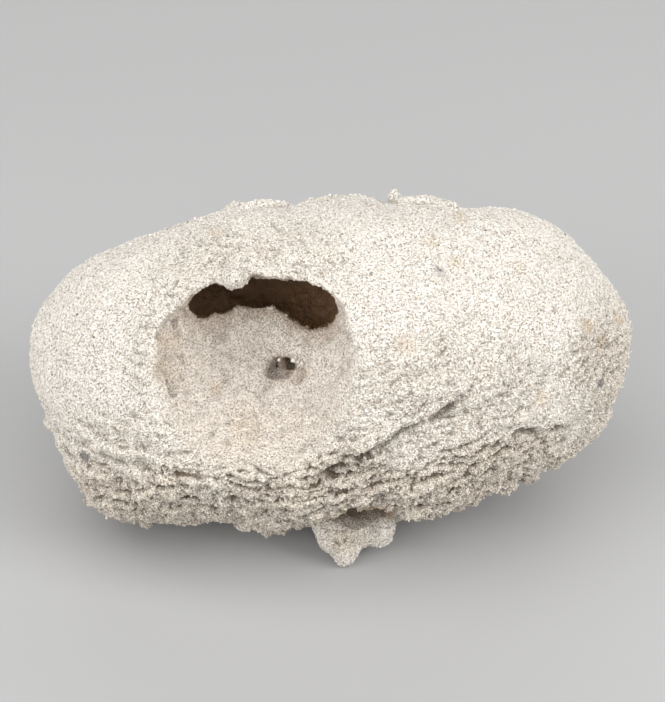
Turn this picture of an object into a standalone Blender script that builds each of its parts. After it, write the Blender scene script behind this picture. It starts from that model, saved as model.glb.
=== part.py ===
"""Fossil weevil cocoon, in metres with +Z up, its origin on the ground under its middle.

The cocoon is one lump of cemented shell sand that lies on its side: an egg-shaped case with a wide
hole left of centre, which opens into the pupal chamber. Sand fills the chamber's floor and slopes
up into the lower lip, while the upper lip overhangs it. Thin crusts stand on the crest, and a
broken spur sticks out under the lower edge.

The shape is worked out in the case's own face frame, in millimetres: u runs along the case, v up
its face and w out of it. The case stands tipped, so that its face looks up and forward. Simple
solids are cut and joined into the rough shape, whose surface then settles on smoothly blended
copies of the same forms and is weathered into lumps, ledges and pits.
"""
from collections import namedtuple
from itertools import product
from math import pi, radians

import bmesh
import bpy
import numpy as np
from mathutils import Euler, Matrix, Vector

MM = 0.001

# The whole case, in millimetres. It is tipped about its length, and rests on a flat worn there.
HALF_DEPTH = 12.3
FULLNESS = 2.25
TIP = radians(55.0)
MIDDLE_HEIGHT = 12.25
MIDDLE_Y = 0.0

# Outline of the face around the middle of the case, as (u, v), without crusts, knobs and spur.
OUTLINE = (
    (22.5, 1.4), (22.4, 3.2), (21.8, 5.0), (20.5, 6.9), (19.0, 8.8), (17.3, 10.2), (15.4, 11.2),
    (13.1, 11.8), (10.4, 11.7), (7.5, 11.9), (4.4, 11.9), (1.8, 12.2), (-0.6, 12.2), (-3.1, 11.7),
    (-5.0, 11.7), (-7.6, 11.7), (-9.2, 11.2), (-10.7, 10.5), (-12.3, 10.0), (-14.1, 9.5),
    (-17.1, 8.3), (-19.3, 6.9), (-20.8, 5.4), (-21.8, 4.2), (-22.4, 2.4), (-22.5, 0.4),
    (-22.2, -1.7), (-21.6, -3.5), (-20.5, -6.2), (-19.3, -8.7), (-18.0, -10.1), (-16.2, -11.6),
    (-13.5, -11.9), (-11.0, -11.9), (-8.9, -11.9), (-6.8, -12.3), (-3.8, -12.5), (-1.2, -12.1),
    (2.3, -12.0), (5.2, -11.8), (8.3, -11.3), (10.7, -10.4), (13.0, -9.4), (15.0, -8.5),
    (16.8, -7.7), (18.7, -6.6), (20.0, -5.3), (21.1, -3.9), (21.8, -2.7), (22.2, -0.6),
)
OUTLINE_SOFTENING = radians(1.6)

# Every smaller form: a ball or a slab with its middle, half sizes, turn about u, v and w in
# degrees, and the width over which it blends into what it meets.
Form = namedtuple("Form", "kind middle half turn blend")

CRUSTS = (
    Form("slab", (-5.6, 11.1, 0.4), (1.9, 0.85, 2.1), (4, 24, 2), 0.8),
    Form("ball", (-6.9, 11.6, 0.8), (0.6, 0.45, 0.7), (0, 0, 0), 0.5),
    Form("ball", (-4.6, 11.8, 0.4), (0.7, 0.45, 0.7), (0, 0, 0), 0.5),
    Form("slab", (1.0, 11.4, -0.6), (2.5, 0.95, 1.8), (-5, -32, -1), 0.9),
    Form("slab", (7.1, 11.5, 0.4), (2.4, 1.0, 1.6), (3, 14, -2), 0.35),
    Form("ball", (5.0, 12.4, 0.6), (0.5, 0.85, 0.5), (0, 0, 8), 0.3),
    Form("ball", (-21.15, -4.75, 0.6), (0.85, 0.6, 0.9), (0, 0, 0), 0.3),
    Form("ball", (15.1, -8.5, 0.6), (0.7, 0.6, 0.8), (0, 0, 0), 0.3),
    Form("ball", (-4.2, -11.9, 0.8), (2.0, 0.8, 1.8), (0, 0, 0), 0.8),
)

# The chamber: a mouth whose floor slopes up to the lower lip, and a vault under the upper lip.
MOUTH = (
    Form("ball", (-5.5, 0.1, 11.4), (6.8, 6.05, 5.0), (-20, 0, 0), 0.1),
    Form("ball", (-5.6, -4.2, 12.6), (6.0, 4.6, 3.6), (-20, 0, 0), 1.6),
    Form("ball", (-2.3, 2.6, 11.0), (3.6, 3.1, 3.9), (-20, 0, -20), 0.8),
)
VAULT = (
    Form("ball", (-4.5, 6.15, 6.2), (5.2, 2.0, 3.5), (-18, 0, -4), 0.8),
    Form("ball", (-8.5, 5.0, 6.9), (3.1, 1.4, 2.7), (-20, -12, 24), 1.0),
    Form("ball", (-0.9, 4.8, 7.4), (2.2, 2.15, 3.6), (-14, 4, 12), 1.0),
)
LIP_BLEND = 0.35
LOWER_LIP_BLEND = 2.4

# A nub that hangs from the upper lip, and a lump low in the mouth.
LUMPS = (
    Form("ball", (-6.6, 5.8, 10.6), (0.8, 0.42, 0.7), (0, 0, 20), 0.45),
    Form("ball", (-8.6, -4.9, 8.7), (0.55, 0.5, 0.5), (0, 0, 0), 0.3),
)

# The spur under the lower edge: its plate, its broken rim and its tip.
SPUR = (
    Form("slab", (1.7, -12.35, 0.8), (2.9, 1.65, 1.1), (12, 0, 5), 0.7),
    Form("ball", (4.1, -12.4, 1.3), (0.9, 1.4, 1.0), (0, 0, -20), 0.5),
    Form("ball", (1.15, -13.9, 1.0), (1.05, 1.65, 0.85), (0, 0, 6), 0.9),
)

# A slot with a shallow dip below and another beside it in the chamber's floor, and two pits in its
# left wall.
PITS = (
    Form("ball", (-3.3, 0.15, 5.6), (0.6, 0.38, 1.6), (40, 0, 8), 0.2),
    Form("ball", (-3.5, -0.4, 6.5), (1.1, 0.95, 0.8), (30, 0, 12), 0.3),
    Form("ball", (-2.1, -1.0, 6.85), (0.6, 0.5, 0.65), (10, 0, 0), 0.3),
    Form("ball", (-11.3, -1.9, 9.0), (0.4, 0.65, 1.1), (0, 0, 12), 0.25),
    Form("ball", (-10.9, 2.5, 9.5), (0.4, 0.4, 0.9), (0, 20, 0), 0.25),
)

# The hollow between the spur and the case.
SPUR_HOLLOW = Form("ball", (2.4, -11.1, 3.7), (2.6, 1.45, 3.4), (0, 0, 24), 0.5)

# Scarps, where the smooth skin has broken off below a line of (u, v) points on the face: how
# deep each step is and how far below the line the surface takes to come back.
Scarp = namedtuple("Scarp", "line depth recovery")
SCARPS = (
    Scarp(((-1.5, -7.9), (1.0, -7.0), (2.9, -5.8), (5.9, -4.1), (8.4, -2.7), (10.0, -2.3)), 0.85, 2.2),
    Scarp(((12.0, -6.0), (12.6, -5.2), (13.7, -4.7), (15.4, -4.7), (18.0, -4.0)), 0.65, 1.6),
)

# The sand's layers lie across the case, and lean the other way in its right half.
LAYER_LEAN = (-0.115, 0.92, 0.38)
LAYER_SADDLE = 0.215
SADDLE_WIDTH = 4.0
LAYER_SPACING = 1.7

VOXEL = 0.42
ROUGH_DEPTH = 1.1 * HALF_DEPTH
TRIANGLES = 9200
ROUNDS = 3
SETTLING_STEPS = 3
LARGEST_STEP = 0.5
GRADIENT_REACH = 0.03


def turned(form):
    """Rotation of a form in the face frame."""
    return Euler([radians(angle) for angle in form.turn]).to_matrix()


def blended(first, second, width):
    """The smaller of two distances, rounded over a width where they are alike."""
    share = np.clip(0.5 + 0.5 * (second - first) / width, 0.0, 1.0)
    return second * (1.0 - share) + first * share - width * share * (1.0 - share)


def ramp(values, start, end):
    """Smooth rise from 0 at start to 1 at end."""
    share = np.clip((values - start) / (end - start), 0.0, 1.0)
    return share * share * (3.0 - 2.0 * share)


def lattice(cells, seed):
    """Repeatable vectors from -1 to 1 at the whole-numbered points of a lattice."""
    hashed = cells @ np.array((374761393, 668265263, 1103515245)) + seed * 1274126177
    parts = []
    for _ in range(3):
        hashed = ((hashed ^ (hashed >> 13)) * 1274126177) & 0x7FFFFFFF
        hashed = hashed ^ (hashed >> 15)
        parts.append((hashed & 0xFFFF) / 32767.5 - 1.0)
    return np.stack(parts, axis=1)


def noise(points, size, seed):
    """Smooth lumps of a given size, from about -1 to 1."""
    scaled = points / size
    cells = np.floor(scaled).astype(np.int64)
    inner = scaled - cells
    fade = inner ** 3 * (inner * (inner * 6.0 - 15.0) + 10.0)
    total = np.zeros(len(points))
    for corner in product((0, 1), repeat=3):
        weight = np.prod(np.where(corner, fade, 1.0 - fade), axis=1)
        pull = (lattice(cells + corner, seed) * (inner - corner)).sum(axis=1)
        total += weight * pull
    return total * 1.6


def scarp_step(points, scarp):
    """Drop of the surface below one scarp."""
    line = np.array(scarp.line)
    height = np.interp(points[:, 0], line[:, 0], line[:, 1])
    below = height - points[:, 1] + 0.35 * noise(points, 1.5, 21)
    ends = ramp(points[:, 0], line[0, 0], line[0, 0] + 2.0)
    ends *= ramp(-points[:, 0], -line[-1, 0], 2.0 - line[-1, 0])
    front = ramp(points[:, 2], 1.0, 3.0)
    step = ramp(below, -0.15, 0.35) * np.exp(-np.maximum(below, 0.0) / scarp.recovery)
    return scarp.depth * step * ends * front


def layer_height(points):
    """How high points lie in the pile of the sand's layers, in millimetres."""
    saddle = LAYER_SADDLE * np.hypot(points[:, 0], SADDLE_WIDTH)
    return points @ np.array(LAYER_LEAN) - saddle


def ledges(points):
    """Stepped edges of the sand's layers, which run nearly level along the case and die out."""
    layer = layer_height(points) / LAYER_SPACING + 1.2 * noise(points, 5.0, 4)
    part = layer - np.floor(layer)
    strength = ramp(noise(points, 3.6, 5), -0.35, 0.35)
    return strength * (part * ramp(1.0 - part, 0.0, 0.3) - 0.35)


def relief(points):
    """How far the weathered case stands out of the smooth one, in millimetres."""
    low = ramp(-points[:, 1], 2.0, 8.5)
    right = ramp(points[:, 0], -2.0, 8.0)
    rough = 0.35 + 0.65 * np.maximum(low, 0.6 * right * ramp(-points[:, 1], -3.0, 4.0))
    height = 0.40 * noise(points, 7.5, 1) + 0.34 * rough * noise(points, 3.1, 2)
    height += 0.24 * rough * noise(points, 1.5, 3)
    height += 0.6 * low * ledges(points)
    for scarp in SCARPS:
        height -= scarp_step(points, scarp)
    return height


def distance(points, form):
    """Distance of points from a form's surface, below zero inside it."""
    local = (points - form.middle) @ np.array(turned(form))
    half = np.array(form.half)
    if form.kind == "slab":
        rounding = 0.6 * half.min()
        beyond = np.abs(local) - (half - rounding)
        outside = np.linalg.norm(np.maximum(beyond, 0.0), axis=1)
        return outside + np.minimum(beyond.max(axis=1), 0.0) - rounding
    scaled = np.linalg.norm(local / half, axis=1)
    slope = np.linalg.norm(local / half ** 2, axis=1)
    return scaled * (scaled - 1.0) / np.maximum(slope, 1e-9)


def outline_reach(angles):
    """Distance from the middle to the outline, at angles around the face."""
    corners = np.array(OUTLINE)
    at = np.arctan2(corners[:, 1], corners[:, 0])
    radii = np.hypot(corners[:, 0], corners[:, 1])
    offsets = OUTLINE_SOFTENING * np.array((-1.5, -0.5, 0.5, 1.5))
    return sum(np.interp(angles + offset, at, radii, period=2 * pi) for offset in offsets) / 4


def case_distance(points):
    """Distance from the weathered egg shape that fills the outline."""
    u, v, w = points.T
    size = np.linalg.norm(points, axis=1)
    across = np.hypot(u, v) / outline_reach(np.arctan2(v, u))
    fill = (across ** FULLNESS + (np.abs(w) / HALF_DEPTH) ** FULLNESS) ** (1.0 / FULLNESS)
    return size * (1.0 - 1.0 / np.maximum(fill, 1e-9)) - relief(points)


def chamber_distance(points):
    """Distance from the hollow of the chamber, below zero in the hollow."""
    hollow = distance(points, MOUTH[0])
    for form in (*MOUTH[1:], *VAULT):
        hollow = blended(hollow, distance(points, form), form.blend)
    return hollow + 0.24 * noise(points, 2.3, 6) + 0.16 * noise(points, 1.0, 10)


def cocoon_distance(points):
    """Distance from the whole cocoon, below zero in the sand."""
    crumbled = points + 0.4 * np.stack([noise(points, 2.1, seed) for seed in (7, 8, 9)], axis=1)
    solid = case_distance(points)
    for form in CRUSTS:
        solid = blended(solid, distance(crumbled, form), form.blend)
    low = ramp(0.35 * (points[:, 0] + 5.4) - points[:, 1], -2.5, 4.0)
    lip = LIP_BLEND + (LOWER_LIP_BLEND - LIP_BLEND) * low
    solid = -blended(-solid, chamber_distance(points), lip)
    for form in (*LUMPS, *SPUR):
        solid = blended(solid, distance(crumbled, form), form.blend)
    for form in (*PITS, SPUR_HOLLOW):
        solid = -blended(-solid, distance(crumbled, form), form.blend)
    return solid


def settled(points):
    """Points moved along the gradient of the distance towards the cocoon's surface."""
    for _ in range(SETTLING_STEPS):
        here = cocoon_distance(points)
        nearby = [cocoon_distance(points + axis) for axis in np.eye(3) * GRADIENT_REACH]
        rise = (np.stack(nearby, axis=1) - here[:, None]) / GRADIENT_REACH
        step = rise * (here / np.maximum((rise ** 2).sum(axis=1), 0.3))[:, None]
        length = np.linalg.norm(step, axis=1)[:, None]
        points = points - step * np.minimum(1.0, LARGEST_STEP / np.maximum(length, 1e-9))
    return points


def relaxed(points, edges):
    """Points moved halfway to the middle of their neighbours."""
    total = np.zeros_like(points)
    count = np.zeros(len(points))
    for start, end in ((0, 1), (1, 0)):
        np.add.at(total, edges[:, start], points[edges[:, end]])
        np.add.at(count, edges[:, start], 1)
    return 0.5 * (points + total / count[:, None])


def sand_material():
    """Pale, dull, cemented sand."""
    material = bpy.data.materials.new("shell_sand")
    material.use_nodes = True
    shader = material.node_tree.nodes["Principled BSDF"]
    shader.inputs["Base Color"].default_value = (0.72, 0.66, 0.57, 1.0)
    shader.inputs["Roughness"].default_value = 0.95
    shader.inputs["Metallic"].default_value = 0.0
    return material


def new_object(name, mesh):
    """Object of a mesh, linked to the scene."""
    thing = bpy.data.objects.new(name, mesh)
    bpy.context.scene.collection.objects.link(thing)
    return thing


def solid(name, kind, middle, half, turn):
    """Ball or block in the face frame, as an object in metres."""
    mesh = bpy.data.meshes.new(name)
    bm = bmesh.new()
    if kind == "ball":
        bmesh.ops.create_icosphere(bm, subdivisions=4, radius=1.0)
    else:
        bmesh.ops.create_cube(bm, size=2.0)
    size = Matrix.Diagonal((*half, 1.0))
    place = Matrix.Translation(middle) @ turn.to_4x4() @ size
    bmesh.ops.transform(bm, matrix=Matrix.Scale(MM, 4) @ place, verts=bm.verts)
    bm.to_mesh(mesh)
    bm.free()
    return new_object(name, mesh)


def cut_or_join(target, form, operation):
    """Boolean modifier on target with the plain solid of a form."""
    tool = solid("tool", form.kind, form.middle, form.half, turned(form))
    tool.hide_render = True
    tool.display_type = "WIRE"
    modifier = target.modifiers.new(operation.lower(), "BOOLEAN")
    modifier.operation = operation
    modifier.object = tool
    return tool


def apply_modifiers(thing):
    """Replace an object's mesh by what its modifiers make of it."""
    graph = bpy.context.evaluated_depsgraph_get()
    made = bpy.data.meshes.new_from_object(thing.evaluated_get(graph))
    thing.modifiers.clear()
    thing.data = made


def rough_case():
    """The case with its crusts, chamber, pits and spur, as one even mesh."""
    reach = outline_reach(np.array((0.0, pi / 2)))
    case = solid("cocoon", "ball", (0, 0, 0), (*reach, ROUGH_DEPTH), Matrix.Identity(3))
    tools = [cut_or_join(case, form, "UNION") for form in CRUSTS]
    tools += [cut_or_join(case, form, "DIFFERENCE") for form in (*MOUTH, *VAULT)]
    tools += [cut_or_join(case, form, "UNION") for form in (*LUMPS, *SPUR)]
    tools += [cut_or_join(case, form, "DIFFERENCE") for form in (*PITS, SPUR_HOLLOW)]
    remesh = case.modifiers.new("even_mesh", "REMESH")
    remesh.mode = "VOXEL"
    remesh.voxel_size = VOXEL * MM
    apply_modifiers(case)
    for tool in tools:
        bpy.data.objects.remove(tool)
    return case


def carve(case):
    """Settle the rough mesh on the blended and weathered shape, evening it out on the way."""
    mesh = case.data
    places = np.empty(len(mesh.vertices) * 3)
    mesh.vertices.foreach_get("co", places)
    edges = np.empty(len(mesh.edges) * 2, dtype=np.int64)
    mesh.edges.foreach_get("vertices", edges)
    points = places.reshape(-1, 3) / MM
    for _ in range(ROUNDS):
        points = settled(relaxed(points, edges.reshape(-1, 2)))
    points = relaxed(points, edges.reshape(-1, 2))
    mesh.vertices.foreach_set("co", (points * MM).ravel())
    mesh.update()


def simplify(case):
    """Decimate the carved mesh, which keeps most triangles where the surface is broken."""
    faces = sum(len(polygon.vertices) - 2 for polygon in case.data.polygons)
    decimate = case.modifiers.new("simplify", "DECIMATE")
    decimate.ratio = TRIANGLES / faces
    decimate.use_collapse_triangulate = True


def stand(case):
    """Tip the case onto its side and wear a flat where it rests."""
    case.rotation_euler = (TIP, 0.0, 0.0)
    case.location = Vector((0.0, MIDDLE_Y, MIDDLE_HEIGHT)) * MM
    ground = solid("ground", "block", (0, 0, -10), (30, 30, 10), Matrix.Identity(3))
    ground.hide_render = True
    ground.display_type = "WIRE"
    flat = case.modifiers.new("worn_flat", "BOOLEAN")
    flat.operation = "DIFFERENCE"
    flat.object = ground


def main():
    for thing in list(bpy.data.objects):
        bpy.data.objects.remove(thing)
    case = rough_case()
    carve(case)
    case.data.materials.clear()
    case.data.materials.append(sand_material())
    simplify(case)
    stand(case)


main()
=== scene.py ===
"""Looks of the fossil weevil cocoon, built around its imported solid.

One lump of cemented shell sand, on its side on a pale floor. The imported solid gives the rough
mesh; its surface settles here on the same blended forms as the solid's, at the size of the sand's
grains, and is then weathered finer. The shape is worked out in the case's own face frame, in
millimetres: u runs along the case, v up its face and w out of it.
"""
from collections import namedtuple
from itertools import product
from math import pi, radians

import bpy
import numpy as np
from mathutils import Euler, Matrix, Vector


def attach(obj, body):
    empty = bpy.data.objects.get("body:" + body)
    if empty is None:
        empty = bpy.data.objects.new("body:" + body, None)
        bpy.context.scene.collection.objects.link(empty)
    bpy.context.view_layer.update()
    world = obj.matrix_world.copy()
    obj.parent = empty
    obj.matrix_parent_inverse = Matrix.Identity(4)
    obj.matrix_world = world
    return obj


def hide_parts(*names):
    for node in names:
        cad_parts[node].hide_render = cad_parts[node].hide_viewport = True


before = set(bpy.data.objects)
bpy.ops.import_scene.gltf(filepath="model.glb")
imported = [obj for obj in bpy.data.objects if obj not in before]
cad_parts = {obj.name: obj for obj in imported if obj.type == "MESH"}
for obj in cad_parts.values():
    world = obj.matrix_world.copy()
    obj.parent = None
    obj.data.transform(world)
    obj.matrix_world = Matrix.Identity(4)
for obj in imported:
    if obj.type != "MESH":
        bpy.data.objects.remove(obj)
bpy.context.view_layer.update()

MM = 0.001

# The whole case, in millimetres. It is tipped about its length, and rests on a flat worn there.
HALF_DEPTH = 12.3
FULLNESS = 2.25
TIP = radians(55.0)
MIDDLE_HEIGHT = 12.25
MIDDLE_Y = 0.0

# Outline of the face around the middle of the case, as (u, v), without crusts, knobs and spur.
OUTLINE = (
    (22.5, 1.4), (22.4, 3.2), (21.8, 5.0), (20.5, 6.9), (19.0, 8.8), (17.3, 10.2), (15.4, 11.2),
    (13.1, 11.8), (10.4, 11.7), (7.5, 11.9), (4.4, 11.9), (1.8, 12.2), (-0.6, 12.2), (-3.1, 11.7),
    (-5.0, 11.7), (-7.6, 11.7), (-9.2, 11.2), (-10.7, 10.5), (-12.3, 10.0), (-14.1, 9.5),
    (-17.1, 8.3), (-19.3, 6.9), (-20.8, 5.4), (-21.8, 4.2), (-22.4, 2.4), (-22.5, 0.4),
    (-22.2, -1.7), (-21.6, -3.5), (-20.5, -6.2), (-19.3, -8.7), (-18.0, -10.1), (-16.2, -11.6),
    (-13.5, -11.9), (-11.0, -11.9), (-8.9, -11.9), (-6.8, -12.3), (-3.8, -12.5), (-1.2, -12.1),
    (2.3, -12.0), (5.2, -11.8), (8.3, -11.3), (10.7, -10.4), (13.0, -9.4), (15.0, -8.5),
    (16.8, -7.7), (18.7, -6.6), (20.0, -5.3), (21.1, -3.9), (21.8, -2.7), (22.2, -0.6),
)
OUTLINE_SOFTENING = radians(1.6)

# Every smaller form: a ball or a slab with its middle, half sizes, turn about u, v and w in
# degrees, and the width over which it blends into what it meets.
Form = namedtuple("Form", "kind middle half turn blend")

CRUSTS = (
    Form("slab", (-5.6, 11.1, 0.4), (1.9, 0.85, 2.1), (4, 24, 2), 0.8),
    Form("ball", (-6.9, 11.6, 0.8), (0.6, 0.45, 0.7), (0, 0, 0), 0.5),
    Form("ball", (-4.6, 11.8, 0.4), (0.7, 0.45, 0.7), (0, 0, 0), 0.5),
    Form("slab", (1.0, 11.4, -0.6), (2.5, 0.95, 1.8), (-5, -32, -1), 0.9),
    Form("slab", (7.1, 11.5, 0.4), (2.4, 1.0, 1.6), (3, 14, -2), 0.35),
    Form("ball", (5.0, 12.4, 0.6), (0.5, 0.85, 0.5), (0, 0, 8), 0.3),
    Form("ball", (-21.15, -4.75, 0.6), (0.85, 0.6, 0.9), (0, 0, 0), 0.3),
    Form("ball", (15.1, -8.5, 0.6), (0.7, 0.6, 0.8), (0, 0, 0), 0.3),
    Form("ball", (-4.2, -11.9, 0.8), (2.0, 0.8, 1.8), (0, 0, 0), 0.8),
)

# The chamber: a mouth whose floor slopes up to the lower lip, and a vault under the upper lip.
MOUTH = (
    Form("ball", (-5.5, 0.1, 11.4), (6.8, 6.05, 5.0), (-20, 0, 0), 0.1),
    Form("ball", (-5.6, -4.2, 12.6), (6.0, 4.6, 3.6), (-20, 0, 0), 1.6),
    Form("ball", (-2.3, 2.6, 11.0), (3.6, 3.1, 3.9), (-20, 0, -20), 0.8),
)
VAULT = (
    Form("ball", (-4.5, 6.15, 6.2), (5.2, 2.0, 3.5), (-18, 0, -4), 0.8),
    Form("ball", (-8.5, 5.0, 6.9), (3.1, 1.4, 2.7), (-20, -12, 24), 1.0),
    Form("ball", (-0.9, 4.8, 7.4), (2.2, 2.15, 3.6), (-14, 4, 12), 1.0),
)
LIP_BLEND = 0.35
LOWER_LIP_BLEND = 2.4

# A nub that hangs from the upper lip, and a lump low in the mouth.
LUMPS = (
    Form("ball", (-6.6, 5.8, 10.6), (0.8, 0.42, 0.7), (0, 0, 20), 0.45),
    Form("ball", (-8.6, -4.9, 8.7), (0.55, 0.5, 0.5), (0, 0, 0), 0.3),
)

# The spur under the lower edge: its plate, its broken rim and its tip.
SPUR = (
    Form("slab", (1.7, -12.35, 0.8), (2.9, 1.65, 1.1), (12, 0, 5), 0.7),
    Form("ball", (4.1, -12.4, 1.3), (0.9, 1.4, 1.0), (0, 0, -20), 0.5),
    Form("ball", (1.15, -13.9, 1.0), (1.05, 1.65, 0.85), (0, 0, 6), 0.9),
)

# A slot with a shallow dip below and another beside it in the chamber's floor, and two pits in its
# left wall.
PITS = (
    Form("ball", (-3.3, 0.15, 5.6), (0.6, 0.38, 1.6), (40, 0, 8), 0.2),
    Form("ball", (-3.5, -0.4, 6.5), (1.1, 0.95, 0.8), (30, 0, 12), 0.3),
    Form("ball", (-2.1, -1.0, 6.85), (0.6, 0.5, 0.65), (10, 0, 0), 0.3),
    Form("ball", (-11.3, -1.9, 9.0), (0.4, 0.65, 1.1), (0, 0, 12), 0.25),
    Form("ball", (-10.9, 2.5, 9.5), (0.4, 0.4, 0.9), (0, 20, 0), 0.25),
)

# The hollow between the spur and the case.
SPUR_HOLLOW = Form("ball", (2.4, -11.1, 3.7), (2.6, 1.45, 3.4), (0, 0, 24), 0.5)

# Scarps, where the smooth skin has broken off below a line of (u, v) points on the face: how
# deep each step is and how far below the line the surface takes to come back.
Scarp = namedtuple("Scarp", "line depth recovery")
SCARPS = (
    Scarp(((-1.5, -7.9), (1.0, -7.0), (2.9, -5.8), (5.9, -4.1), (8.4, -2.7), (10.0, -2.3)), 0.85, 2.2),
    Scarp(((12.0, -6.0), (12.6, -5.2), (13.7, -4.7), (15.4, -4.7), (18.0, -4.0)), 0.65, 1.6),
)

# The sand's layers lie across the case, and lean the other way in its right half.
LAYER_LEAN = (-0.115, 0.92, 0.38)
LAYER_SADDLE = 0.215
SADDLE_WIDTH = 4.0
LAYER_SPACING = 1.7

# Soft tan stains and dark flecks on the face: (u, v, radius, strength).
STAINS = (
    (9.0, 7.1, 0.7, 0.9), (7.1, 8.5, 0.5, 0.8), (21.1, 3.1, 0.5, 1.0), (18.5, 2.6, 0.7, 0.8),
    (19.6, 1.5, 0.6, 0.7), (-8.1, -1.8, 0.55, 0.8), (-6.0, -4.8, 1.5, 0.35), (9.4, 10.6, 0.7, 0.6),
    (13.5, 6.8, 0.6, 0.5), (-8.1, 9.3, 0.8, 0.3), (5.1, 1.3, 0.9, 0.5), (14.9, -2.6, 0.8, 0.5),
    (1.6, -12.6, 2.6, 0.28), (-11.4, 1.6, 1.0, 0.45), (-11.6, -0.4, 1.0, 0.45),
)
# Dark flecks. The last three lie in the slot of the chamber's floor and are painted shade there.
FLECKS_AND_SLOT_SHADE = (
    (7.7, 6.55, 0.36, 1.0), (-17.7, -6.8, 0.5, 0.8), (19.6, -1.6, 0.35, 0.8), (2.9, 3.2, 0.2, 0.8),
    (-3.25, 0.02, 0.42, 1.0), (-2.85, -0.2, 0.34, 0.9), (-4.05, -0.42, 0.3, 0.5),
)

# A few larger pale grains over the slot in the chamber's floor: (u, v, w, half size).
LOOSE_GRAINS = (
    (-2.63, 0.18, 7.1, 0.29), (-2.28, 0.06, 7.2, 0.17), (-2.0, -0.05, 7.3, 0.23),
    (-1.78, 0.2, 7.4, 0.21), (-2.16, -0.18, 7.2, 0.15), (-3.65, 0.2, 6.85, 0.2),
    (-2.45, 0.36, 7.15, 0.14),
)
LOOSE_SHADE = 0.55
LOOSE_FORM = (1.0, 0.8, 0.7)

# The fine mesh in millimetres and triangles, and its grains: half size, how flat and tilted they
# lie, how far they stand out, pieces, and grains in each piece.
FINE_VOXEL = 0.165
FINE_TRIANGLES = 199000
GRAIN_SIZE = 0.075
GRAIN_SPREAD = 0.30
GRAIN_FLATNESS = 0.6
GRAIN_TILT = 0.28
GRAIN_LIFT = 0.4
GRAIN_PIECES = 4
GRAINS = 24000
SEED = 11

# Large whole numbers that shuffle a lattice point's place into its random vector.
LATTICE_PRIMES = (374761393, 668265263, 1103515245)
SHUFFLE_PRIME = 1274126177

# What is stored for each point of the surface, from 0 to 1.
MARKS = ("cavity", "hollow", "lining_and_shade", "rough", "stain", "fleck_and_slot_shade")

# How the fine mesh finds the surface: steps, the longest step and the reach of the gradient.
SETTLING_STEPS = 3
LARGEST_STEP = 0.5
GRADIENT_REACH = 0.03

# How broken each zone of the skin is, beside 1 low on the front.
ROUGHNESS = {
    "lower_left": 0.35, "right_patch": 0.4, "right_end": 0.7, "behind": 0.28, "under": 0.8, "lip": 0.3,
}
SPUR_SMOOTHNESS = 0.9

# The skin's fine relief. Crumbs are (size, height, seed), lumps are (size, seed, height everywhere,
# more where broken, more in the chamber), and crumbs are drawn out along the sand's layers.
SKIN_CRUMBS = ((1.5, 0.22, 16), (0.8, 0.24, 17), (0.42, 0.16, 18))
SKIN_LUMPS = ((0.9, 11, 0.05, 0.13, 0.04), (0.5, 12, 0.04, 0.05, 0.03))
ALONG_LAYERS = 0.5
ACROSS_LAYERS = 1.5
THIN_LAYER = 0.7
THIN_LEDGE = 0.55
VAULT_CRUMB = 0.7
CREASE_DEPTH = 0.28
DEEPEST_RELIEF = 0.36
CAVITY_ROUNDS = 6

# A grain: its corners, its faces, and where each corner of each face lies in its square of the chart.
OCTAHEDRON = np.array(((1, 0, 0), (0, 1, 0), (-1, 0, 0), (0, -1, 0), (0, 0, 1), (0, 0, -1)), dtype=float)
OCTAHEDRON_FACES = np.array((
    (0, 1, 4), (1, 2, 4), (2, 3, 4), (3, 0, 4), (1, 0, 5), (2, 1, 5), (3, 2, 5), (0, 3, 5),
))
OCTAHEDRON_CHART = np.array((
    ((1, 0.5), (0.5, 1), (0.5, 0.5)), ((0.5, 1), (0, 0.5), (0.5, 0.5)), ((0, 0.5), (0.5, 0), (0.5, 0.5)),
    ((0.5, 0), (1, 0.5), (0.5, 0.5)), ((0.5, 1), (1, 0.5), (1, 1)), ((0, 0.5), (0.5, 1), (0, 1)),
    ((0.5, 0), (0, 0.5), (0, 0)), ((1, 0.5), (0.5, 0), (1, 0)),
))

# Colours of the sand: the tints of its grains as (share of grains, colour), and what covers them.
GRAIN_TINTS = (
    (0.00, (0.14, 0.13, 0.12)), (0.015, (0.45, 0.38, 0.31)), (0.06, (0.66, 0.58, 0.49)),
    (0.15, (0.77, 0.715, 0.635)), (0.40, (0.82, 0.775, 0.71)), (0.80, (0.86, 0.825, 0.77)),
    (1.00, (0.91, 0.89, 0.85)),
)
TAN = (0.66, 0.52, 0.35, 1.0)
WARM = (0.81, 0.71, 0.585, 1.0)
# Painted shade: near-black in the core of the slot.
SLOT_SHADE = (0.05, 0.037, 0.026, 1.0)
# Grey of the dark flecks, which in the slot is painted shade.
GREY = (0.16, 0.165, 0.17, 1.0)
# Painted shade in the pores between the grains.
PORE_SHADE = (0.19, 0.15, 0.115, 1.0)
# Painted shade in crevices and along the feet of the scarps.
CREVICE_SHADE = (0.18, 0.14, 0.10, 1.0)
# Brown of the chamber's lining, darkened with painted shade under the lip, in the pits and over the
# spur.
SHADED_LINING = (0.27, 0.15, 0.07, 1.0)
# Darker, warmer tone over the inside of the chamber.
CHAMBER_TONE = (0.74, 0.665, 0.59, 1.0)

# Sizes in the sand's colour, in millimetres: grains, patches of pores, and how far both wander.
SAND_GRAIN = 0.11
PORE_PATCH = 0.14
PORE_WANDER = (0.22, 0.09)
SAND_BUMP = 0.05
SPECKLE = 0.07
SPECKLE_WANDER = (0.35, 0.12)
GRAIN_BUMP = 0.02

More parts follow.
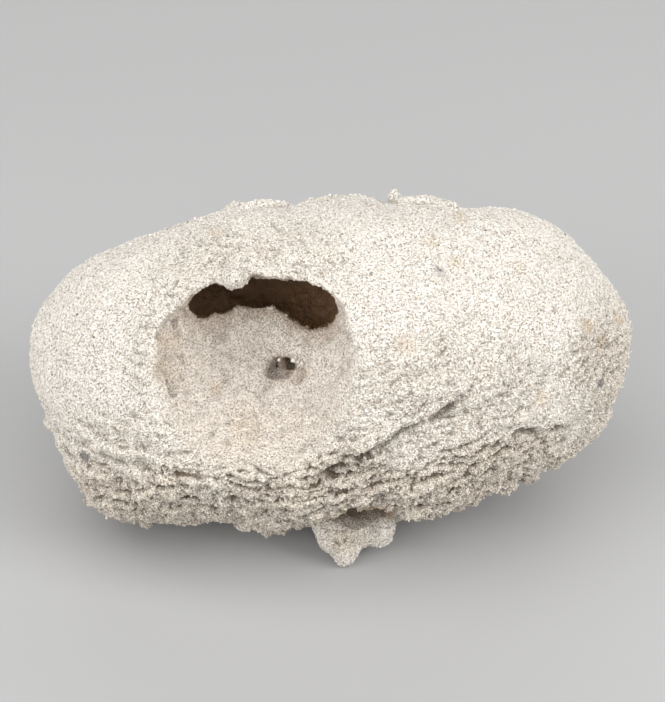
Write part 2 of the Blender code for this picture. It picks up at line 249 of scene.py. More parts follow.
# Soft rectangular lights: direction from the case in its face frame, size in millimetres, watts.
SOFTBOXES = {
    "overhead_softbox": ((-0.06, 0.66, 0.75), (1000, 340), 2.0),
    "front_softbox": ((-0.2, -0.1, 1.0), (500, 250), 0.6),
    "left_softbox": ((-1.0, 0.0, 0.7), (200, 200), 0.74),
    "right_softbox": ((1.0, 0.2, 0.6), (200, 200), 1.0),
    "back_softbox": ((0.1, 0.94, -0.34), (400, 300), 0.5),
}
SOFTBOX_DISTANCE = 400
FLOOR_COLOR = (0.42, 0.42, 0.42, 1)
FLOOR_HALF = 1.0

# The camera looks square at the face; the picture is taller than wide.
PICTURE = (665, 702)
LENS = 85.0
SENSOR = 36.0
CAMERA_DISTANCE = 126.2
MIDDLE_PIXEL = (330.0, 362.0)


def turned(form):
    """Rotation of a form in the face frame."""
    return Euler([radians(angle) for angle in form.turn]).to_matrix()


def blended(first, second, width):
    """The smaller of two distances, rounded over a width where they are alike."""
    share = np.clip(0.5 + 0.5 * (second - first) / width, 0.0, 1.0)
    return second * (1.0 - share) + first * share - width * share * (1.0 - share)


def ramp(values, start, end):
    """Smooth rise from 0 at start to 1 at end."""
    share = np.clip((values - start) / (end - start), 0.0, 1.0)
    return share * share * (3.0 - 2.0 * share)


def lattice(cells, seed):
    """Repeatable vectors from -1 to 1 at the whole-numbered points of a lattice."""
    hashed = cells @ np.array(LATTICE_PRIMES) + seed * SHUFFLE_PRIME
    parts = []
    for _ in range(3):
        hashed = ((hashed ^ (hashed >> 13)) * SHUFFLE_PRIME) & 0x7FFFFFFF
        hashed = hashed ^ (hashed >> 15)
        parts.append((hashed & 0xFFFF) / 32767.5 - 1.0)
    return np.stack(parts, axis=1)


def noise(points, size, seed):
    """Smooth lumps of a given size, from about -1 to 1."""
    scaled = points / size
    cells = np.floor(scaled).astype(np.int64)
    inner = scaled - cells
    fade = inner ** 3 * (inner * (inner * 6.0 - 15.0) + 10.0)
    total = np.zeros(len(points))
    for corner in product((0, 1), repeat=3):
        weight = np.prod(np.where(corner, fade, 1.0 - fade), axis=1)
        pull = (lattice(cells + corner, seed) * (inner - corner)).sum(axis=1)
        total += weight * pull
    return total * 1.6


def scarp_place(points, scarp, fade):
    """How far points lie below a scarp's line, and 1 to 0 where its two ends fade out."""
    line = np.array(scarp.line)
    height = np.interp(points[:, 0], line[:, 0], line[:, 1])
    below = height - points[:, 1] + 0.35 * noise(points, 1.5, 21)
    start, end = line[0, 0], line[-1, 0]
    ends = ramp(points[:, 0], start, start + fade) * ramp(-points[:, 0], -end, fade - end)
    return below, ends


def scarp_step(points, scarp):
    """Drop of the surface below one scarp."""
    below, ends = scarp_place(points, scarp, 2.0)
    front = ramp(points[:, 2], 1.0, 3.0)
    step = ramp(below, -0.15, 0.35) * np.exp(-np.maximum(below, 0.0) / scarp.recovery)
    return scarp.depth * step * ends * front


def scarp_crease(points, scarp):
    """Strength of the narrow crease along the foot of one scarp."""
    below, ends = scarp_place(points, scarp, 1.5)
    front = ramp(points[:, 2], 1.0, 3.0)
    broken = ramp(noise(points, 2.0, 22), -0.5, 0.1)
    return broken * ends * front * np.exp(-((below - 0.25) / 0.22) ** 2)


def layer_height(points):
    """How high points lie in the pile of the sand's layers, in millimetres."""
    saddle = LAYER_SADDLE * np.hypot(points[:, 0], SADDLE_WIDTH)
    return points @ np.array(LAYER_LEAN) - saddle


def ledges(points):
    """Stepped edges of the sand's layers, which run nearly level along the case and die out."""
    layer = layer_height(points) / LAYER_SPACING + 1.2 * noise(points, 5.0, 4)
    part = layer - np.floor(layer)
    strength = ramp(noise(points, 3.6, 5), -0.35, 0.35)
    return strength * (part * ramp(1.0 - part, 0.0, 0.3) - 0.35)


def relief(points):
    """How far the weathered case stands out of the smooth one, in millimetres."""
    low = ramp(-points[:, 1], 2.0, 8.5)
    right = ramp(points[:, 0], -2.0, 8.0)
    rough = 0.35 + 0.65 * np.maximum(low, 0.6 * right * ramp(-points[:, 1], -3.0, 4.0))
    height = 0.40 * noise(points, 7.5, 1) + 0.34 * rough * noise(points, 3.1, 2)
    height += 0.24 * rough * noise(points, 1.5, 3)
    height += 0.6 * low * ledges(points)
    for scarp in SCARPS:
        height -= scarp_step(points, scarp)
    return height


def distance(points, form):
    """Distance of points from a form's surface, below zero inside it."""
    local = (points - form.middle) @ np.array(turned(form))
    half = np.array(form.half)
    if form.kind == "slab":
        rounding = 0.6 * half.min()
        beyond = np.abs(local) - (half - rounding)
        outside = np.linalg.norm(np.maximum(beyond, 0.0), axis=1)
        return outside + np.minimum(beyond.max(axis=1), 0.0) - rounding
    scaled = np.linalg.norm(local / half, axis=1)
    slope = np.linalg.norm(local / half ** 2, axis=1)
    return scaled * (scaled - 1.0) / np.maximum(slope, 1e-9)


def outline_reach(angles):
    """Distance from the middle to the outline, at angles around the face."""
    corners = np.array(OUTLINE)
    at = np.arctan2(corners[:, 1], corners[:, 0])
    radii = np.hypot(corners[:, 0], corners[:, 1])
    offsets = OUTLINE_SOFTENING * np.array((-1.5, -0.5, 0.5, 1.5))
    return sum(np.interp(angles + offset, at, radii, period=2 * pi) for offset in offsets) / 4


def case_distance(points):
    """Distance from the weathered egg shape that fills the outline."""
    u, v, w = points.T
    size = np.linalg.norm(points, axis=1)
    across = np.hypot(u, v) / outline_reach(np.arctan2(v, u))
    fill = (across ** FULLNESS + (np.abs(w) / HALF_DEPTH) ** FULLNESS) ** (1.0 / FULLNESS)
    return size * (1.0 - 1.0 / np.maximum(fill, 1e-9)) - relief(points)


def chamber_distance(points):
    """Distance from the hollow of the chamber, below zero in the hollow."""
    hollow = distance(points, MOUTH[0])
    for form in (*MOUTH[1:], *VAULT):
        hollow = blended(hollow, distance(points, form), form.blend)
    return hollow + 0.24 * noise(points, 2.3, 6) + 0.16 * noise(points, 1.0, 10)


def cocoon_distance(points):
    """Distance from the whole cocoon, below zero in the sand."""
    crumbled = points + 0.4 * np.stack([noise(points, 2.1, seed) for seed in (7, 8, 9)], axis=1)
    solid = case_distance(points)
    for form in CRUSTS:
        solid = blended(solid, distance(crumbled, form), form.blend)
    low = ramp(0.35 * (points[:, 0] + 5.4) - points[:, 1], -2.5, 4.0)
    lip = LIP_BLEND + (LOWER_LIP_BLEND - LIP_BLEND) * low
    solid = -blended(-solid, chamber_distance(points), lip)
    for form in (*LUMPS, *SPUR):
        solid = blended(solid, distance(crumbled, form), form.blend)
    for form in (*PITS, SPUR_HOLLOW):
        solid = -blended(-solid, distance(crumbled, form), form.blend)
    return solid


def settled(points):
    """Points moved along the gradient of the distance towards the cocoon's surface."""
    for _ in range(SETTLING_STEPS):
        here = cocoon_distance(points)
        nearby = [cocoon_distance(points + axis) for axis in np.eye(3) * GRADIENT_REACH]
        rise = (np.stack(nearby, axis=1) - here[:, None]) / GRADIENT_REACH
        step = rise * (here / np.maximum((rise ** 2).sum(axis=1), 0.3))[:, None]
        length = np.linalg.norm(step, axis=1)[:, None]
        points = points - step * np.minimum(1.0, LARGEST_STEP / np.maximum(length, 1e-9))
    return points


def neighbour_mean(points, edges):
    """Middle of each point's neighbours."""
    total = np.zeros_like(points)
    count = np.zeros(len(points))
    for start, end in ((0, 1), (1, 0)):
        np.add.at(total, edges[:, start], points[edges[:, end]])
        np.add.at(count, edges[:, start], 1)
    return total / count[:, None]


def to_world():
    """Matrix from the face frame in millimetres to the scene in metres."""
    place = Vector((0.0, MIDDLE_Y, MIDDLE_HEIGHT))
    tipped = Matrix.Translation(place) @ Matrix.Rotation(TIP, 4, "X")
    return Matrix.Scale(MM, 4) @ tipped


def moved(points, matrix):
    """Points carried by a matrix."""
    grid = np.array(matrix)
    return points @ grid[:3, :3].T + grid[:3, 3]


def crumbs(points, size, seed):
    """Broken crumbs: how high each one stands, from -1 to 1, and 0 to 1 away from the gaps."""
    scaled = points / size
    cells = np.floor(scaled).astype(np.int64)
    nearest = np.full(len(points), 9.0)
    second = nearest.copy()
    height = np.zeros(len(points))
    for corner in product((-1, 0, 1), repeat=3):
        spot = lattice(cells + corner, seed)
        gap = np.linalg.norm(cells + corner + 0.5 + 0.42 * spot - scaled, axis=1)
        second = np.where(gap < nearest, nearest, np.minimum(second, gap))
        height = np.where(gap < nearest, spot[:, 2], height)
        nearest = np.minimum(nearest, gap)
    return height, ramp(second - nearest, 0.0, 0.3)


def union(points, forms):
    """Distance from several forms joined with no blend."""
    return np.minimum.reduce([distance(points, form) for form in forms])


def roughness_map(points):
    """How broken the skin is, from 0 on the fine upper face to 1 low down on the front."""
    u, v, w = points.T
    wander = 2.0 * noise(points, 4.0, 15)
    up = v * np.sin(TIP) + w * np.cos(TIP)
    low = ramp(-v + wander - 2.2 * ramp(-u, -2.0, 5.0), 3.0, 7.5)
    lower_left = ROUGHNESS["lower_left"] * ramp(-v + wander, 2.0, 5.0)
    patch = ramp(u + wander, 0.0, 6.0) * ramp(-v + wander, -5.0, 1.5) * ramp(-u, -18.0, -13.0)
    right_patch = ROUGHNESS["right_patch"] * patch
    right_end = ROUGHNESS["right_end"] * ramp(u + wander, 14.0, 20.0) * ramp(-v, -7.0, 0.0)
    behind = ROUGHNESS["behind"] * ramp(-w, -3.0, 4.0)
    under = ROUGHNESS["under"] * ramp(wander - up, 2.5, 8.0)
    lip = ROUGHNESS["lip"] * ramp(-chamber_distance(points), -3.0, -0.8) * ramp(v - 0.6 * u, 2.0, 8.0)
    rough = np.maximum.reduce([low, lower_left, right_patch, right_end, behind, under, lip])
    return rough * (1.0 - SPUR_SMOOTHNESS * ramp(-union(points, SPUR), -0.6, 0.0))


def thin_ledges(points):
    """How strongly the sand's thinnest layers show, and the height of their stepped edges."""
    layer = layer_height(points) / THIN_LAYER + 1.1 * noise(points, 2.2, 13)
    part = layer - np.floor(layer)
    return ramp(noise(points, 1.8, 14), -0.3, 0.3), part * ramp(1.0 - part, 0.0, 0.15) - 0.4


def fine_relief(points, rough, hollow, vaulted):
    """Crumbs, thin ledges and small lumps of the skin, in millimetres."""
    outside = 1.0 - hollow
    stand, middle = crumbs(points + 0.15 * noise(points, 0.6, 28)[:, None], VAULT_CRUMB, 19)
    height = vaulted * (0.14 * stand + 0.16 * middle - 0.16)
    for scarp in SCARPS:
        height -= CREASE_DEPTH * scarp_crease(points, scarp)
    across = ACROSS_LAYERS * layer_height(points)
    layered = np.stack([ALONG_LAYERS * points[:, 0], across, points[:, 2]], axis=1)
    for size, depth, seed in SKIN_CRUMBS:
        stand, middle = crumbs(layered + 0.3 * noise(points, size, seed + 9)[:, None], size, seed)
        height += depth * rough * outside * (0.6 * stand + 0.8 * middle - 0.5)
    for size, seed, plain, broken, inside in SKIN_LUMPS:
        height += (plain + broken * rough * outside + inside * hollow) * noise(points, size, seed)
    shows, edge = thin_ledges(points)
    height += THIN_LEDGE * rough * outside * shows * edge
    return np.maximum(height, -DEEPEST_RELIEF)


def vertex_places(mesh):
    """A mesh's vertex coordinates, one row each."""
    places = np.empty(len(mesh.vertices) * 3)
    mesh.vertices.foreach_get("co", places)
    return places.reshape(-1, 3)


def face_normals(mesh):
    """Vertex normals of a mesh, turned into the face frame."""
    normals = np.empty(len(mesh.vertices) * 3)
    mesh.vertices.foreach_get("normal", normals)
    turn = np.array(Matrix.Rotation(-TIP, 3, "X"))
    return normals.reshape(-1, 3) @ turn.T


def mesh_edges(mesh):
    """A mesh's edges, as pairs of vertex numbers."""
    edges = np.empty(len(mesh.edges) * 2, dtype=np.int64)
    mesh.edges.foreach_get("vertices", edges)
    return edges.reshape(-1, 2)


def put_vertices(mesh, places):
    """Move a mesh's vertices to places in the scene."""
    mesh.vertices.foreach_set("co", places.ravel())
    mesh.update()


def set_attribute(mesh, name, values):
    """Store one number a vertex under a name."""
    layer = mesh.attributes.new(name, "FLOAT", "POINT")
    layer.data.foreach_set("value", values.astype(np.float32))


def apply_modifiers(piece):
    """Replace a piece's mesh with what its modifiers make of it."""
    graph = bpy.context.evaluated_depsgraph_get()
    mesh = bpy.data.meshes.new_from_object(piece.evaluated_get(graph))
    piece.modifiers.clear()
    piece.data = mesh


def remeshed_case():
    """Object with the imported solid's surface as an even, fine mesh."""
    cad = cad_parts["cocoon"]
    case = bpy.data.objects.new("cocoon_surface", cad.data.copy())
    bpy.context.scene.collection.objects.link(case)
    remesh = case.modifiers.new("even_mesh", "REMESH")
    remesh.mode = "VOXEL"
    remesh.voxel_size = FINE_VOXEL * MM
    remesh.use_smooth_shade = True
    apply_modifiers(case)
    return case


def spot_strength(points, spots, wander, core):
    """Sum of round spots on the front, at full strength within a share of their radius, the core."""
    total = np.zeros(len(points))
    front = ramp(points[:, 2], 0.0, 2.0)
    push = np.stack([noise(points, 0.8, seed) for seed in (41, 42)], axis=1)
    pushed = points[:, :2] + wander * push
    for u, v, radius, strength in spots:
        gap = np.linalg.norm(pushed - (u, v), axis=1)
        total += strength * front * ramp(-gap, -radius, -core * radius)
    return total


def chamber_marks(points):
    """How far points are in the chamber and under its upper lip, and how strongly they take the brown
    lining and painted shade, from 0 to 1.
    """
    hollow = ramp(-chamber_distance(points), -0.7, -0.1) * ramp(-case_distance(points), -0.1, 0.4)
    under_lip = union(points, MOUTH) - union(points, VAULT)
    # Brown lining under the upper lip, darkened there as painted shade.
    vaulted = hollow * ramp(under_lip + 0.25 * noise(points, 0.9, 43), -0.3, 0.7)
    # A soft edge of painted shade towards the crest of the chamber's floor.
    near_lip = 0.4 * ramp(under_lip + 0.5 * noise(points, 1.2, 44), -1.7, -0.1)
    # Painted shade in the pits, darkest in the slot.
    in_pit = ramp(-np.abs(union(points, PITS)), -0.45, -0.1) * ramp(-points[:, 2], -9.5, -8.5)
    in_pit *= 0.3 + 0.6 * ramp(-distance(points, PITS[0]), -0.3, 0.0)
    # Painted shade in the hollow over the spur.
    over_spur = ramp(-np.abs(distance(points, SPUR_HOLLOW)), -0.5, -0.1)
    over_spur *= ramp(points[:, 1], -12.3, -11.2)
    lining_and_shade = np.maximum.reduce([vaulted, hollow * near_lip, in_pit, 0.6 * over_spur])
    return hollow, vaulted, lining_and_shade


def cavity_strength(points, normals, edges):
    """How deep points lie below the surface around them, with the creases of the scarps."""
    around = points
    for _ in range(CAVITY_ROUNDS):
        around = neighbour_mean(around, edges)
    stands_out = ((points - around) * normals).sum(axis=1)
    crease = sum(scarp_crease(points, scarp) for scarp in SCARPS)
    return np.maximum(ramp(-stands_out, -0.01, 0.11), crease)


def fine_case():
    """The cocoon's surface, settled on the blended forms and then weathered."""
    case = remeshed_case()
    mesh = case.data
    edges = mesh_edges(mesh)
    world = to_world()
    points = moved(vertex_places(mesh), world.inverted())
    points = settled(0.5 * (points + neighbour_mean(points, edges)))
    put_vertices(mesh, moved(points, world))
    hollow, vaulted, lining_and_shade = chamber_marks(points)
    rough = roughness_map(points)
    points = points + face_normals(mesh) * fine_relief(points, rough, hollow, vaulted)[:, None]
    places = moved(points, world)
    places[:, 2] = np.maximum(places[:, 2], 0.0)
    put_vertices(mesh, places)
    # How deep each point lies below its surroundings, which sets the painted shade in crevices.
    cavity = cavity_strength(points, face_normals(mesh), edges)
    stain = spot_strength(points, STAINS, 0.35, 0.35)
    # Dark flecks, with painted shade in the slot.
    fleck_and_slot_shade = spot_strength(points, FLECKS_AND_SLOT_SHADE, 0.15, 0.8)
    for name, values in zip(MARKS, (cavity, hollow, lining_and_shade, rough, stain, fleck_and_slot_shade), strict=True):
        set_attribute(mesh, name, values)
    thin_out(case)
    return case


def thin_out(case):
    """Decimate the surface, which keeps most triangles where it is broken."""
    faces = sum(len(polygon.vertices) - 2 for polygon in case.data.polygons)
    decimate = case.modifiers.new("thin_out", "DECIMATE")
    decimate.ratio = min(1.0, FINE_TRIANGLES / faces)
    decimate.use_collapse_triangulate = True
    apply_modifiers(case)


def unit(vectors):
    """Vectors with their length taken out."""
    return vectors / np.linalg.norm(vectors, axis=1)[:, None]


def scattered(mesh, count, chance):
    """Random places on a mesh's triangles, closer together where the skin is broken."""
    corners = np.empty(len(mesh.loops), dtype=np.int64)
    mesh.loops.foreach_get("vertex_index", corners)
    corners = corners.reshape(-1, 3)
    ends = vertex_places(mesh)[corners]
    across = np.cross(ends[:, 1] - ends[:, 0], ends[:, 2] - ends[:, 0])
    known = {}
    for name in MARKS:
        numbers = np.empty(len(mesh.vertices), dtype=np.float32)
        mesh.attributes[name].data.foreach_get("value", numbers)
        known[name] = numbers[corners]
    share = np.cumsum(np.linalg.norm(across, axis=1) * (0.7 + 0.6 * known["rough"][:, 0]))
    picked = np.searchsorted(share, chance.random(count) * share[-1])
    root, along = np.sqrt(chance.random(count)), chance.random(count)
    weights = np.stack([1.0 - root, root * (1.0 - along), root * along], axis=1)
    places = (ends[picked] * weights[:, :, None]).sum(axis=1)
    values = {name: (numbers[picked] * weights).sum(axis=1) for name, numbers in known.items()}
    return places, unit(across[picked]), values


def lying_turns(normals, chance):
    """Rotation matrices of grains that lie nearly flat on a surface, turned at random."""
    up = unit(normals + GRAIN_TILT * chance.normal(size=normals.shape))
    along = unit(np.cross(up, chance.normal(size=normals.shape)))
    return np.stack([along, np.cross(up, along), up], axis=2)


def triangle_mesh(name, places, faces):
    """Smooth-shaded mesh from corner places and triangles."""
    mesh = bpy.data.meshes.new(name)
    mesh.vertices.add(len(places))
    mesh.vertices.foreach_set("co", places.ravel())
    mesh.loops.add(faces.size)
    mesh.loops.foreach_set("vertex_index", faces.ravel())
    mesh.polygons.add(len(faces))
    mesh.polygons.foreach_set("loop_start", np.arange(0, faces.size, 3))
    mesh.polygons.foreach_set("use_smooth", np.ones(len(faces), dtype=bool))
    mesh.update(calc_edges=True)
    return mesh


def grain_chart(count):
    """Texture places of the grains' corners, each grain in a square of its own with a thin edge."""
    side = int(np.ceil(np.sqrt(count)))
    cell = np.stack([np.arange(count) % side, np.arange(count) // side], axis=1)
    return (cell[:, None, None, :] + 0.06 + 0.88 * OCTAHEDRON_CHART[None]) / side


def grain_piece(name, middles, half, turns, values):
    """One mesh of many small eight-sided grains."""
    corners = OCTAHEDRON[None] * half[:, None, :]
    places = np.einsum("nij,nkj->nki", turns, corners) + middles[:, None, :]
    places[:, :, 2] = np.maximum(places[:, :, 2], 0.0)
    first_corner = len(OCTAHEDRON) * np.arange(len(middles))
    faces = OCTAHEDRON_FACES[None] + first_corner[:, None, None]
    mesh = triangle_mesh(name, places.reshape(-1, 3), faces.reshape(-1, 3))
    mesh.uv_layers.new(name="OFBake").data.foreach_set("uv", grain_chart(len(middles)).ravel())
    for key, numbers in values.items():
        set_attribute(mesh, key, np.repeat(numbers, len(OCTAHEDRON)))
    piece = bpy.data.objects.new(name, mesh)
    bpy.context.scene.collection.objects.link(piece)
    return piece


def lay_loose_grains(spots, half, values):
    """Turn the first grains into the larger ones over the slot in the chamber's floor."""
    loose = np.array(LOOSE_GRAINS)
    spots[:len(loose)] = moved(loose[:, :3], to_world())
    half[:len(loose)] = loose[:, 3:] * LOOSE_FORM * MM
    values["shade"][:len(loose)] = LOOSE_SHADE
    for name in MARKS:
        values[name][:len(loose)] = 0.0


def grain_pieces(case):
    """Sand grains half sunk in the surface, in a few interleaved pieces."""
    chance = np.random.default_rng(SEED)
    count = GRAIN_PIECES * GRAINS
    places, normals, values = scattered(case.data, count, chance)
    values["shade"] = chance.random(count)
    size = GRAIN_SIZE * MM * np.exp(GRAIN_SPREAD * chance.normal(size=count))
    half = size[:, None] * (0.75 + 0.5 * chance.random((count, 3)))
    half[:, 2] *= GRAIN_FLATNESS
    spots = places + normals * (half[:, 2] * GRAIN_LIFT * chance.random(count))[:, None]
    turns = lying_turns(normals, chance)
    lay_loose_grains(spots, half, values)
    pieces = []
    for index in range(GRAIN_PIECES):
        part = slice(index, None, GRAIN_PIECES)
        name = f"sand_grains_{index + 1}"
        own = {key: numbers[part] for key, numbers in values.items()}
        pieces.append(grain_piece(name, spots[part], half[part], turns[part], own))
    return pieces


def node(tree, kind, inputs=(), **settings):
    """Shader node with its settings and plain input values."""
    made = tree.nodes.new(kind)
    for key, value in settings.items():
        setattr(made, key, value)
    for key, value in dict(inputs).items():
        made.inputs[key].default_value = value
    return made


def attribute(tree, name):
    """Value of a named vertex attribute."""
    return node(tree, "ShaderNodeAttribute", attribute_name=name).outputs["Fac"]


def maths(tree, operation, first, second):
    """Result of a maths node on two values or sockets."""
    made = node(tree, "ShaderNodeMath", operation=operation)
    for socket, value in zip(made.inputs, (first, second)):
        if isinstance(value, (int, float)):
            socket.default_value = value
        else:
            tree.links.new(value, socket)
    return made.outputs["Value"]


def mixed(tree, share, first, second):
    """Two colours mixed by a share."""
    made = node(tree, "ShaderNodeMix", data_type="RGBA")
    sockets = (made.inputs["Factor"], made.inputs[6], made.inputs[7])
    for socket, value in zip(sockets, (share, first, second)):
        if isinstance(value, (int, float, tuple)):
            socket.default_value = value
        else:
            tree.links.new(value, socket)
    return made.outputs[2]


def color_steps(tree, value, steps):
    """Colour ramp through (position, colour) steps."""
    made = node(tree, "ShaderNodeValToRGB")
    stops = made.color_ramp.elements
    for at, _ in steps[2:]:
        stops.new(at)
    for stop, (at, color) in zip(stops, steps):
        stop.position = at
        stop.color = (*color, 1.0)
    tree.links.new(value, made.inputs["Fac"])
    return made.outputs["Color"]


def step(tree, value, start, end):
    """Smooth rise of a value from 0 to 1."""
    made = node(tree, "ShaderNodeMapRange", {"From Min": start, "From Max": end},
                interpolation_type="SMOOTHSTEP")
    tree.links.new(value, made.inputs["Value"])
    return made.outputs["Result"]


def weathered_and_shaded(tree, color, depth):
    """Colour of sand with a darker tone in the chamber, stains, flecks, the chamber's brown lining, and
    painted shade in crevices, pits, the slot and under the lip.
    """
    # A darker, warmer tone inside the chamber.
    chamber_tone = maths(tree, "MULTIPLY", attribute(tree, "hollow"), 0.6)
    color = mixed(tree, chamber_tone, color, CHAMBER_TONE)
    warmth = maths(tree, "MULTIPLY", attribute(tree, "rough"), 0.5)
    color = mixed(tree, warmth, color, WARM)
    # Painted shade in crevices, stronger where the skin is broken.
    low = maths(tree, "MULTIPLY", attribute(tree, "cavity"), attribute(tree, "rough"))
    low = maths(tree, "MULTIPLY", maths(tree, "ADD", maths(tree, "MULTIPLY", low, 0.9), 0.3), depth)
    low = maths(tree, "MULTIPLY", low, attribute(tree, "cavity"))
    color = mixed(tree, low, color, CREVICE_SHADE)
    stain = maths(tree, "MULTIPLY", attribute(tree, "stain"), 0.7)
    color = mixed(tree, stain, color, TAN)
    # The chamber's brown lining, with painted shade under the lip, in the pits and over the spur.
    lining_and_shade = maths(tree, "MULTIPLY", attribute(tree, "lining_and_shade"), 0.97)
    color = mixed(tree, lining_and_shade, color, SHADED_LINING)
    # Dark flecks, and painted shade in the slot.
    color = mixed(tree, attribute(tree, "fleck_and_slot_shade"), color, GREY)
    # Near-black painted shade in the slot's core, where flecks and lining meet.
    slot_shade = maths(tree, "MULTIPLY", attribute(tree, "fleck_and_slot_shade"), attribute(tree, "lining_and_shade"))
    return mixed(tree, step(tree, slot_shade, 0.08, 0.4), color, SLOT_SHADE)


def sand(name):
    """New material and its Principled shader, dull all over."""
    material = bpy.data.materials.new(name)
    material.use_nodes = True
    shader = material.node_tree.nodes["Principled BSDF"]
    shader.inputs["Base Color"].default_value = (0.8, 0.75, 0.68, 1.0)
    shader.inputs["Specular IOR Level"].default_value = 0.08
    return material, material.node_tree, shader


def warped_place(tree, size, reach):
    """Object coordinates pushed about by noise, so that what lies on them wanders."""
    place = node(tree, "ShaderNodeTexCoord").outputs["Object"]
    wander = node(tree, "ShaderNodeTexNoise", {"Scale": 1 / (size * MM), "Detail": 1.0})
    tree.links.new(place, wander.inputs["Vector"])
    push = node(tree, "ShaderNodeVectorMath", operation="MULTIPLY_ADD")
    tree.links.new(wander.outputs["Color"], push.inputs[0])
    push.inputs[1].default_value = (reach * MM,) * 3
    tree.links.new(place, push.inputs[2])
    return push.outputs["Vector"]


def ground_sand():
    """Cemented fine sand, with winding pores between its grains painted dark as painted shade, more of
    them in crevices and broken skin.
    """
    material, tree, shader = sand("cemented_sand")
    place = warped_place(tree, *PORE_WANDER)
    grain_scale = {"Scale": 1 / (SAND_GRAIN * MM)}
    cells = node(tree, "ShaderNodeTexVoronoi", grain_scale)
    gaps = node(tree, "ShaderNodeTexVoronoi", grain_scale, feature="DISTANCE_TO_EDGE")
    patchy = node(tree, "ShaderNodeTexNoise", {"Scale": 1 / (PORE_PATCH * MM), "Detail": 1.0})
    for texture in (cells, gaps, patchy):
        tree.links.new(place, texture.inputs["Vector"])
    split = node(tree, "ShaderNodeSeparateColor")
    tree.links.new(cells.outputs["Color"], split.inputs["Color"])
    more_broken = maths(tree, "MULTIPLY", attribute(tree, "rough"), 0.09)
    more_low = maths(tree, "MULTIPLY", attribute(tree, "cavity"), 0.10)
    spread = maths(tree, "ADD", patchy.outputs["Fac"], more_broken)
    spread = maths(tree, "ADD", spread, more_low)
    shut = step(tree, gaps.outputs["Distance"], 0.02, 0.16)
    pore = maths(tree, "MULTIPLY", maths(tree, "SUBTRACT", 1.0, shut), step(tree, spread, 0.44, 0.55))
    color = color_steps(tree, split.outputs["Red"], GRAIN_TINTS)
    color = weathered_and_shaded(tree, color, 0.95)
    # Painted shade in the pores.
    color = mixed(tree, maths(tree, "MULTIPLY", pore, 0.9), color, PORE_SHADE)
    tree.links.new(color, shader.inputs["Base Color"])
    height = maths(tree, "SUBTRACT", maths(tree, "MULTIPLY", split.outputs["Green"], 0.4), pore)
    bump = node(tree, "ShaderNodeBump", {"Distance": SAND_BUMP * MM, "Strength": 0.8})
    tree.links.new(height, bump.inputs["Height"])
    tree.links.new(bump.outputs["Normal"], shader.inputs["Normal"])
    dull = maths(tree, "ADD", maths(tree, "MULTIPLY", split.outputs["Blue"], 0.15), 0.82)
    tree.links.new(dull, shader.inputs["Roughness"])
    return material


def grain_sand():
    """Single grains of shell and quartz sand."""
    material, tree, shader = sand("sand_grains")
    color = color_steps(tree, attribute(tree, "shade"), GRAIN_TINTS)
    color = weathered_and_shaded(tree, color, 0.7)
    place = warped_place(tree, *SPECKLE_WANDER)
    speckle = node(tree, "ShaderNodeTexNoise", {"Scale": 1 / (SPECKLE * MM), "Detail": 1.0})
    tree.links.new(place, speckle.inputs["Vector"])
    # Dark speckle on the grains, painted shade like that of the pores.
    pore = maths(tree, "MULTIPLY", step(tree, speckle.outputs["Fac"], 0.58, 0.68), 0.35)
    color = mixed(tree, pore, color, PORE_SHADE)
    tree.links.new(color, shader.inputs["Base Color"])
    bump = node(tree, "ShaderNodeBump", {"Distance": GRAIN_BUMP * MM, "Strength": 0.8})
    tree.links.new(speckle.outputs["Fac"], bump.inputs["Height"])
    tree.links.new(bump.outputs["Normal"], shader.inputs["Normal"])
    dull = maths(tree, "ADD", maths(tree, "MULTIPLY", attribute(tree, "shade"), -0.12), 0.95)
    tree.links.new(dull, shader.inputs["Roughness"])
    return material


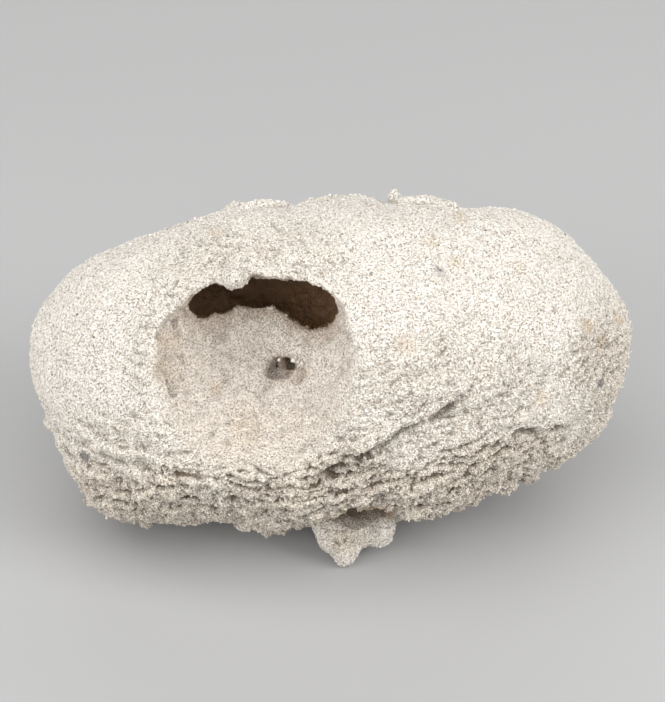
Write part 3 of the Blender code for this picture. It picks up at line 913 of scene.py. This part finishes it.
def floor():
    """Wide pale floor."""
    mesh = bpy.data.meshes.new("floor")
    half = FLOOR_HALF
    corners = [(-half, -half, 0), (half, -half, 0), (half, half, 0), (-half, half, 0)]
    mesh.from_pydata(corners, [], [(0, 1, 2, 3)])
    plane = bpy.data.objects.new("floor", mesh)
    bpy.context.scene.collection.objects.link(plane)
    material = bpy.data.materials.new("pale_floor")
    material.use_nodes = True
    shader = material.node_tree.nodes["Principled BSDF"]
    shader.inputs["Base Color"].default_value = FLOOR_COLOR
    shader.inputs["Roughness"].default_value = 0.8
    mesh.materials.append(material)


def camera():
    """Camera square to the face, with the case's middle at its place in the picture."""
    data = bpy.data.cameras.new("camera")
    data.lens = LENS
    data.sensor_width = SENSOR
    eye = bpy.data.objects.new("camera", data)
    bpy.context.scene.collection.objects.link(eye)
    focal = LENS / SENSOR * max(PICTURE)
    across = (PICTURE[0] / 2 - MIDDLE_PIXEL[0]) / focal * CAMERA_DISTANCE
    up = (MIDDLE_PIXEL[1] - PICTURE[1] / 2) / focal * CAMERA_DISTANCE
    eye.location = to_world() @ Vector((across, up, CAMERA_DISTANCE))
    eye.rotation_euler = (TIP, 0.0, 0.0)
    bpy.context.scene.camera = eye


def lamp(name, direction, size, watts):
    """Soft rectangular light that faces the case, from a direction in the face frame."""
    data = bpy.data.lights.new(name, "AREA")
    data.shape = "RECTANGLE"
    data.size, data.size_y = size[0] * MM, size[1] * MM
    data.energy = watts
    box = bpy.data.objects.new(name, data)
    bpy.context.scene.collection.objects.link(box)
    towards = Vector(direction).normalized()
    box.location = to_world() @ (towards * SOFTBOX_DISTANCE)
    turn = Matrix.Rotation(TIP, 3, "X") @ towards
    box.rotation_euler = turn.to_track_quat("Z", "Y").to_euler()


def light():
    """Plain soft studio light, strongest from above the face."""
    for name, (direction, size, watts) in SOFTBOXES.items():
        lamp(name, direction, size, watts)
    world = bpy.data.worlds.new("studio")
    world.use_nodes = True
    back = world.node_tree.nodes["Background"]
    back.inputs["Color"].default_value = (1.0, 0.98, 0.95, 1)
    back.inputs["Strength"].default_value = 0.12
    bpy.context.scene.world = world
    bpy.context.scene.view_settings.view_transform = "Standard"


def cover(pieces, material):
    """Give pieces one material, in place of any that they had."""
    for piece in pieces:
        piece.data.materials.clear()
        piece.data.materials.append(material)


case = fine_case()
grains = grain_pieces(case)
cover([case], ground_sand())
cover(grains, grain_sand())
for piece in (case, *grains):
    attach(piece, "root")
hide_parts("cocoon")
floor()
camera()
light()
